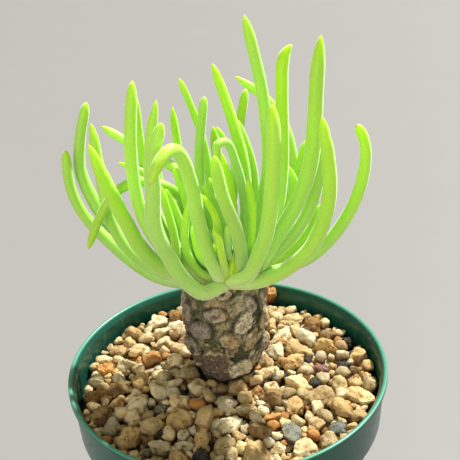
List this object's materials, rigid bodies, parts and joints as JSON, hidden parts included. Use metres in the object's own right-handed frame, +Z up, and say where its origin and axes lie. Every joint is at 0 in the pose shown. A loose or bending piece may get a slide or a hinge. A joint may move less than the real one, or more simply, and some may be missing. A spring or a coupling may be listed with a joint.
{
  "type": "potted tylecodon rubrovenosus",
  "caption": "Small caudex succulent with a crown of upright finger-like leaves, standing in mixed horticultural gravel in a round tapered plastic pot with a collar and lip",
  "frame": {"origin": "the centre of the pot's foot, on the surface that the pot stands on", "axes": "+Z up, the pot's own axis; the front, as pictured, faces -Y; +X is to its right"},
  "size_m": [0.105, 0.105, 0.2],
  "materials": {
    "pot": "gloss",
    "caudex": "matte",
    "gravel": "matte",
    "leaf": "satin"
  },
  "bodies": {
    "root": {"pot": "pot", "caudex": "caudex", "gravel": "gravel", "leaf_left_1": "leaf", "leaf_left_2": "leaf", "leaf_left_3": "leaf", "leaf_left_4": "leaf", "leaf_left_5": "leaf", "leaf_left_6": "leaf", "leaf_left_7": "leaf", "leaf_left_8": "leaf", "leaf_left_9": "leaf", "leaf_front_1": "leaf", "leaf_front_2": "leaf", "leaf_front_3": "leaf", "leaf_front_4": "leaf", "leaf_front_5": "leaf", "leaf_front_6": "leaf", "leaf_front_7": "leaf", "leaf_front_8": "leaf", "leaf_front_9": "leaf", "leaf_front_10": "leaf", "leaf_front_11": "leaf", "leaf_middle_1": "leaf", "leaf_middle_2": "leaf", "leaf_middle_3": "leaf", "leaf_middle_4": "leaf", "leaf_middle_5": "leaf", "leaf_middle_6": "leaf", "leaf_middle_7": "leaf", "leaf_middle_8": "leaf", "leaf_middle_9": "leaf", "leaf_middle_10": "leaf", "leaf_middle_11": "leaf", "leaf_middle_12": "leaf", "leaf_middle_13": "leaf", "leaf_middle_14": "leaf", "leaf_middle_15": "leaf", "leaf_middle_16": "leaf", "leaf_middle_17": "leaf", "leaf_right_1": "leaf", "leaf_right_2": "leaf", "leaf_right_3": "leaf", "leaf_right_4": "leaf", "leaf_right_5": "leaf", "leaf_right_6": "leaf", "leaf_right_7": "leaf", "leaf_rear_1": "leaf", "leaf_rear_2": "leaf", "leaf_rear_3": "leaf", "leaf_rear_4": "leaf", "leaf_rear_5": "leaf", "leaf_rear_6": "leaf"}
  },
  "joints": []
}
